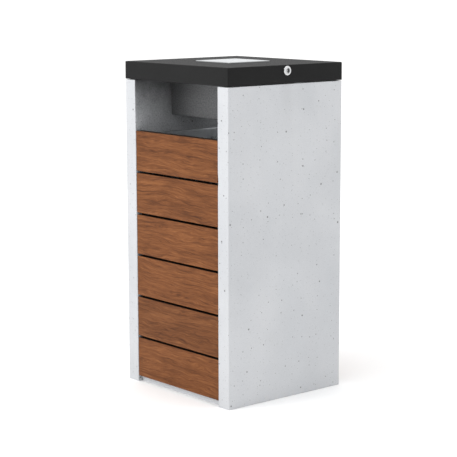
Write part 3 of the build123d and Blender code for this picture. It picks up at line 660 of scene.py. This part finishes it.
low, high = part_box("lid_shell")
lid_x, lid_y, foot, top = high.x, high.y, low.z, high.z
sections = [(PAN_CUT, PAN_CUT, 0.004, top)]
sections += bend(lid_x - LID_BEND, lid_y - LID_BEND, 0.0004, top - LID_BEND, LID_BEND)[::-1]
for angle in np.linspace(0, -pi / 2, 4):
    inset = FOOT_BEND * (1 - cos(angle))
    sections.append((lid_x - inset, lid_y - inset, max(LID_BEND - inset, 0.0004),
                     foot + FOOT_BEND * (1 + sin(angle))))
inner_x, inner_y = lid_x - SHEET, lid_y - SHEET
sections.append((inner_x - RETURN_FLANGE, inner_y - RETURN_FLANGE, 0.001, foot))
sections.append((inner_x - RETURN_FLANGE, inner_y - RETURN_FLANGE, 0.001, foot + SHEET))
sections.append((inner_x, inner_y, 0.001, foot + SHEET))
sections.append((inner_x, inner_y, 0.001, top - SHEET - 0.001))
sections.append((inner_x - 0.001, inner_y - 0.001, 0.0005, top - SHEET))
sections.append((PAN_CUT, PAN_CUT, 0.004, top - SHEET))
lid = loft("folded_lid", box_rings(sections), closed=True)
keeper_low, keeper_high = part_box("lock_keeper")
cut_out(lid, (keeper_low.x - NOTCH_GAP, keeper_low.y - NOTCH_MARGIN, foot - CUT_PAST),
        (inner_x, keeper_high.y + NOTCH_MARGIN, foot + SHEET + 0.0002))
lock_low, lock_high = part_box("lock_body")
lock_z = (lock_low.z + lock_high.z) / 2
cut_out(lid, (inner_x - 0.001, -LOCK_HOLE, lock_z - LOCK_HOLE),
        (lid_x + 0.001, LOCK_HOLE, lock_z + LOCK_HOLE), "X")
for end in ENDS:
    leaf_low, leaf_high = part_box(f"hinge_leaf_lid_{end}")
    bolt_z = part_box("hinge_bolts_lid")[0].z + BOLT_HEAD
    for y in (leaf_low.y + BOLT_INSET, leaf_high.y - BOLT_INSET):
        cut_out(lid, (-lid_x - 0.001, y - BOLT_HOLE, bolt_z - BOLT_HOLE),
                (-inner_x + 0.001, y + BOLT_HOLE, bolt_z + BOLT_HOLE), "X")
even_normals(lid)
anthracite = powder_coat("anthracite_coat")
wear(lid, anthracite)
stand_for(lid, "lid", "powder_coat", "lid_shell")
lid.data.set_sharp_from_angle(angle=radians(32))
dress([f"lid_stiffener_{side}" for side in SIDES], 0.0005, "lid", "galvanised", galvanised("stiffener_zinc"))


# ---------------------------------------------------------------- rubber pads and feet
# Moulded black rubber, with edges slightly rounded by the mould. Thin discs on the body take the
# lid when it closes, and feet keep the liner off the slab.


def rubber(name):
    """Matte black rubber with a fine moulded grain and a little dust."""
    material, tree, shader, place = finish_start(name, roughness=0.8)
    grain = noise(tree, place, 900, 2)
    dust = noise(tree, place, 30, 3)
    tree.links.new(ramp(tree, dust, (0.3, (0.016, 0.016, 0.016)), (0.75, (0.032, 0.032, 0.031))),
                   shader.inputs["Base Color"])
    bump(tree, shader, grain, 0.4, 0.0003)
    return material


black_rubber = rubber("black_rubber")
dress(("lid_pads",), 0.0005, "bin_body", "black_rubber", black_rubber)
dress(("liner_feet",), 0.0015, "bucket", "black_rubber", black_rubber)


# ---------------------------------------------------------------- ash housing
# Open box of galvanised sheet with a flange round its top, welded under the lid. It shields the
# ash pan and guides litter down; its zinc is painted dark and specked as painted shade under the lid.

HOUSING_FLANGE = 0.012
HOUSING_SHEET = 0.0015

low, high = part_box("ash_housing")
wide, t = HOUSING_FLANGE, HOUSING_SHEET
x, y = high.x - wide, high.y - wide
sections = [(x - 0.004, y - 0.004, 0.002, low.z), (x - 0.001, y - 0.001, 0.003, low.z + 0.0003),
            (x, y, 0.003, low.z + 0.0015), (x, y, 0.003, high.z - t - 0.001),
            (x + 0.001, y + 0.001, 0.003, high.z - t), (x + wide, y + wide, 0.003, high.z - t),
            (x + wide, y + wide, 0.003, high.z), (x - t, y - t, 0.0015, high.z),
            (x - t, y - t, 0.0015, low.z + t + 0.001), (x - t - 0.001, y - t - 0.001, 0.001, low.z + t)]
housing = even_normals(loft("welded_housing", box_rings(sections)))
housing.data.set_sharp_from_angle(angle=radians(40))
# Painted shade: the housing zinc is made dark and specked, standing in for the shade under the lid.
wear(housing, galvanised("housing_zinc_painted_shade", base=(0.155, 0.157, 0.16), spangle=160.0, contrast=0.35, shade_speckle=0.42))
stand_for(housing, "lid", "galvanised", "ash_housing")


# ---------------------------------------------------------------- ash pan and stub grid
# Pressed stainless pan that drops into the square hole of the lid and hangs by its flange. A
# perforated plate, where stubs are put out, lies flush in a rebate in that flange.


def stainless(name, grain_axis="X", base=0.62, rough=0.26):
    """Brushed stainless steel: long fine scratches along one axis and faint smudges."""
    material, tree, shader, place = finish_start(name, roughness=rough, metallic=1.0)
    scale = {"X": (6, 1800, 1800), "Y": (1800, 6, 1800), "Z": (1800, 1800, 6)}[grain_axis]
    lines = noise(tree, stretch(tree, place, scale), 1.0, 3, 0.6)
    smudge = noise(tree, place, 14, 4, 0.55)
    dark, light = [tuple(base * c for c in tint) for tint in ((0.86, 0.88, 0.90), (1.07, 1.1, 1.12))]
    tree.links.new(ramp(tree, lines, (0.3, dark), (0.7, light)), shader.inputs["Base Color"])
    scratched = calc(tree, "MULTIPLY_ADD", lines, 0.14, rough - 0.1)
    tree.links.new(calc(tree, "MULTIPLY_ADD", smudge, 0.16, scratched), shader.inputs["Roughness"])
    bump(tree, shader, lines, 0.12, 0.0001)
    return material


PAN_WALL = 0.0715
PAN_SHEET = 0.0015
GRID_CLEARANCE, GRID_LIFT = 0.0005, 0.0001

low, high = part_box("ash_pan")
outer, wall, t = high.x, PAN_WALL, PAN_SHEET
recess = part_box("stub_grid")[1].x + GRID_CLEARANCE
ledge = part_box("stub_grid")[0].z - GRID_LIFT
sections = [(0.02, 0.02, 0.004, low.z), (wall - 0.006, wall - 0.006, 0.004, low.z),
            (wall - 0.002, wall - 0.002, 0.006, low.z + 0.0012), (wall, wall, 0.007, low.z + 0.005),
            (wall, wall, 0.006, top), (outer - 0.0003, outer - 0.0003, 0.005, top),
            (outer, outer, 0.005, top + 0.0008), (outer, outer, 0.005, high.z - 0.0016),
            (outer - 0.0005, outer - 0.0005, 0.0045, high.z - 0.0005),
            (outer - 0.0016, outer - 0.0016, 0.004, high.z),
            (recess + 0.0005, recess + 0.0005, 0.003, high.z), (recess, recess, 0.003, high.z - 0.0005),
            (recess, recess, 0.003, ledge), (wall - t, wall - t, 0.005, ledge),
            (wall - t, wall - t, 0.0055, low.z + 0.006),
            (wall - t - 0.002, wall - t - 0.002, 0.005, low.z + 0.0026),
            (wall - 0.009, wall - 0.009, 0.003, low.z + t), (0.02, 0.02, 0.003, low.z + t)]
pan = even_normals(loft("pressed_pan", box_rings(sections)))
pan.data.set_sharp_from_angle(angle=radians(50))
wear(pan, stainless("pan_steel", base=0.46, rough=0.38))
stand_for(pan, "ash_tray", "stainless", "ash_pan")

HOLE_PITCH, HOLE_RADIUS, HOLE_ROWS, HOLE_STEPS = 0.034, 0.006, 3, 8
low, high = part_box("stub_grid")


def square_ring(half, steps):
    """Points round a square, the same number on each side, anticlockwise from its +X +Y corner."""
    side = np.linspace(1, -1, steps + 1)[:-1]
    one = np.ones(steps)
    return half * np.concatenate([np.stack([side, one], 1), np.stack([-one, side], 1),
                                  np.stack([-side, -one], 1), np.stack([one, -side], 1)])


def pierced_plate(name, low, high, pitch, radius, rows, steps):
    """Plate with a square pattern of round holes.

    Each hole is the middle of a square cell: rings run from the square to the circle on top, down the
    bore and back to the square below. A frame of the same points round the cells closes the plate.
    """
    cell = square_ring(pitch / 2, steps)
    angles = np.arctan2(cell[:, 1], cell[:, 0])
    circle = np.stack([np.cos(angles), np.sin(angles)], 1)
    arris = 0.0004
    loops = [(cell, high.z), (circle * (radius + arris), high.z), (circle * radius, high.z - arris),
             (circle * radius, low.z + arris), (circle * (radius + arris), low.z), (cell, low.z)]
    sheet = [np.column_stack([flat, np.full(len(flat), z)]) for flat, z in loops]
    pieces = []
    for i in range(rows):
        for j in range(rows):
            middle = np.array(((i - (rows - 1) / 2) * pitch, (j - (rows - 1) / 2) * pitch, 0))
            pieces.append([ring + middle for ring in sheet])
    inner = square_ring(rows * pitch / 2, rows * steps)
    edge = square_ring(high.x, rows * steps)
    shy = square_ring(high.x - arris, rows * steps)
    frame_loops = [(inner, high.z), (shy, high.z), (edge, high.z - arris), (edge, low.z + arris),
                   (shy, low.z), (inner, low.z)]
    pieces.append([np.column_stack([flat, np.full(len(flat), z)]) for flat, z in frame_loops])
    points, faces, start = [], [], 0
    for rings in pieces:
        count, around = len(rings), len(rings[0])
        index = np.arange(count * around).reshape(count, around) + start
        a, b = index[:-1], index[1:]
        faces.append(np.stack([a, np.roll(a, -1, 1), np.roll(b, -1, 1), b], -1).reshape(-1, 4))
        points.append(np.concatenate(rings))
        start += count * around
    return face_out(sew(mesh_piece(name, np.concatenate(points), np.concatenate(faces))))


grid = even_normals(pierced_plate("pierced_grid", low, high, HOLE_PITCH, HOLE_RADIUS, HOLE_ROWS, HOLE_STEPS))
grid.data.set_sharp_from_angle(angle=radians(40))
wear(grid, stainless("grid_steel", base=0.72, rough=0.42))
stand_for(grid, "grid", "stainless", "stub_grid")


# ---------------------------------------------------------------- hinges
# Two stainless butt hinges on the left side, with rolled knuckles and a stop tongue each. The body
# leaves are screwed to the concrete and the lid leaves bolted through the skirt.

hinge_steel = stainless("hinge_steel", "Y", base=0.52, rough=0.34)
dress([f"hinge_leaf_body_{end}" for end in ENDS] + [f"hinge_pin_{end}" for end in ENDS], 0.0005, "bin_body",
      "stainless", hinge_steel)
dress([f"hinge_leaf_lid_{end}" for end in ENDS], 0.0005, "lid", "stainless", hinge_steel)
dress(("hinge_screws_body",), 0.0008, "bin_body", "zinc_plate", fastener_zinc)
dress(("hinge_bolts_lid", "hinge_nuts"), 0.0008, "lid", "zinc_plate", fastener_zinc)


# ---------------------------------------------------------------- lock and keeper
# Chromed lock with a domed head in the right skirt. Its barrel turns a flat cam under the keeper,
# a bent strip on top of the right panel.


def chrome(name):
    """Polished chrome plate with faint haze and hairlines."""
    material, tree, shader, place = finish_start(name, roughness=0.08, metallic=1.0)
    haze = noise(tree, place, 60, 4)
    tree.links.new(ramp(tree, haze, (0.3, (0.60, 0.605, 0.61)), (0.7, (0.70, 0.705, 0.71))),
                   shader.inputs["Base Color"])
    tree.links.new(calc(tree, "MULTIPLY_ADD", haze, 0.16, 0.04), shader.inputs["Roughness"])
    bump(tree, shader, noise(tree, stretch(tree, place, (40, 900, 900)), 1.0, 2), 0.05, 0.0001)
    return material


def half_shaded_barrel(name):
    """Duller chrome on the barrel face, with painted shade darkening its +Y half."""
    material, tree, shader, place = finish_start(name, roughness=0.3, metallic=1.0)
    haze = noise(tree, place, 240, 3)
    side = calc(tree, "MULTIPLY_ADD", haze, 0.003, add(tree, "SeparateXYZ", {"Vector": place}).outputs["Y"])
    # Painted shade: the barrel face goes dark towards +Y.
    painted_side_shade = ramp(tree, span(tree, side, -0.002, 0.004), (0, (0.62, 0.625, 0.63)), (1, (0.16, 0.162, 0.166)))
    tree.links.new(painted_side_shade, shader.inputs["Base Color"])
    tree.links.new(calc(tree, "MULTIPLY_ADD", haze, 0.3, 0.15), shader.inputs["Roughness"])
    bump(tree, shader, haze, 0.1, 0.0001)
    return material


lock_chrome = chrome("lock_chrome")
dress(("lock_body",), 0.0004, "lid", "lock_chrome", lock_chrome)
dress(("lock_barrel",), 0.0003, "lock_core", "lock_chrome", half_shaded_barrel("barrel_chrome_painted_shade"))
dress(("lock_nut",), 0.0006, "lid", "zinc_plate", fastener_zinc)
dress(("lock_cam", "cam_screw"), 0.0004, "lock_core", "zinc_plate", fastener_zinc)
dress(("lock_keeper",), 0.0005, "bin_body", "stainless", stainless("keeper_steel", "X", base=0.5, rough=0.36))


# ---------------------------------------------------------------- liner and its bails
# Lift-out bucket of thin galvanised sheet with a wired rim and drain holes in its floor. Welded
# lugs carry two bails, which are drop handles of round stainless bar.

LINER_SHEET = 0.0015
LINER_RIM = 0.006
RIM_WIRE = 0.003
DRAIN_AT, DRAIN_RADIUS = 0.06, 0.006

low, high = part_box("liner")
rim, t, wire = LINER_RIM, LINER_SHEET, RIM_WIRE
x, y, floor_z = high.x - rim, high.y - rim, low.z
sections = [(x - 0.05, y - 0.05, 0.01, floor_z), (x - 0.004, y - 0.004, 0.009, floor_z),
            (x - 0.001, y - 0.001, 0.011, floor_z + 0.001), (x, y, 0.012, floor_z + 0.004),
            (x, y, 0.012, high.z - rim - 0.0015)]
for angle in np.linspace(-pi / 2, pi, 13):
    offset = rim - wire + wire * cos(angle)
    sections.append((x + offset, y + offset, 0.012 + offset, high.z - wire + wire * sin(angle)))
sections += [(x, y, 0.012, high.z - wire - 0.0004), (x - t, y - t, 0.0105, high.z - wire - 0.001),
             (x - t, y - t, 0.0105, floor_z + 0.005),
             (x - t - 0.001, y - t - 0.001, 0.0095, floor_z + 0.0025),
             (x - t - 0.004, y - t - 0.004, 0.008, floor_z + t), (x - 0.05, y - 0.05, 0.008, floor_z + t)]
bucket = loft("sheet_liner", box_rings(sections, sides=4))
for drain_x in (-DRAIN_AT, DRAIN_AT):
    for drain_y in (-DRAIN_AT, DRAIN_AT):
        cut_out(bucket, (drain_x - DRAIN_RADIUS, drain_y - DRAIN_RADIUS, floor_z - CUT_PAST),
                (drain_x + DRAIN_RADIUS, drain_y + DRAIN_RADIUS, floor_z + CUT_PAST), "Z")
even_normals(bucket)
bucket.data.set_sharp_from_angle(angle=radians(45))
wear(bucket, galvanised("liner_zinc", base=(0.52, 0.54, 0.56), spangle=45.0, contrast=0.5))
stand_for(bucket, "bucket", "galvanised", "liner")
dress(("bail_lugs",), 0.0005, "bucket", "galvanised", galvanised("lug_zinc"))


def wire_bar(name, corners, bend_radius, radius, around=20):
    """Round bar along a path of straight runs and arcs, with slightly domed ends.

    The path is sampled, and at each sample a circle stands square to the path's direction.
    """
    corners = np.array(corners, float)
    path = [corners[0]]
    for before, corner, after in zip(corners, corners[1:], corners[2:]):
        a = (before - corner) / np.linalg.norm(before - corner)
        b = (after - corner) / np.linalg.norm(after - corner)
        centre = corner + (a + b) * bend_radius
        for angle in np.linspace(0, pi / 2, 9):
            path.append(centre - b * bend_radius * cos(angle) - a * bend_radius * sin(angle))
    path.append(corners[-1])
    path = np.array(path)
    heading = np.gradient(path, axis=0)
    heading /= np.linalg.norm(heading, axis=1)[:, None]
    side = np.cross(heading, (1, 0, 0))
    side /= np.linalg.norm(side, axis=1)[:, None]
    up = np.cross(side, heading)
    angles = np.linspace(0, 2 * pi, around, endpoint=False)[None, :, None]
    rings = list(path[:, None] + radius * (np.cos(angles) * side[:, None] + np.sin(angles) * up[:, None]))
    for at, sign in ((0, -1), (-1, 1)):
        middle = path[at]
        dome = middle + (rings[at] - middle) * 0.8
        if sign < 0:
            rings[0] = rings[0] + heading[0] * radius * 0.25
            rings.insert(0, dome)
        else:
            rings[-1] = rings[-1] - heading[-1] * radius * 0.25
            rings.append(dome)
    return loft(name, rings)


BAIL_RADIUS = 0.0035
BAIL_BEND = 0.00525
BAIL_END = 0.012
bail_steel = stainless("bail_steel", "Y", base=0.55, rough=0.3)
for name in SIDES:
    low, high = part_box(f"bail_{name}")
    at = (low.x + high.x) / 2
    pivot_z = high.z - BAIL_RADIUS
    leg, foot_z = high.y - BAIL_END, low.z + BAIL_RADIUS
    corners = [(at, low.y, pivot_z), (at, -leg, pivot_z), (at, -leg, foot_z), (at, leg, foot_z),
               (at, leg, pivot_z), (at, high.y, pivot_z)]
    bail = wire_bar(f"wire_bail_{name}", corners, BAIL_BEND, BAIL_RADIUS)
    wear(bail, bail_steel)
    stand_for(bail, f"handle_{name}", "stainless", f"bail_{name}")
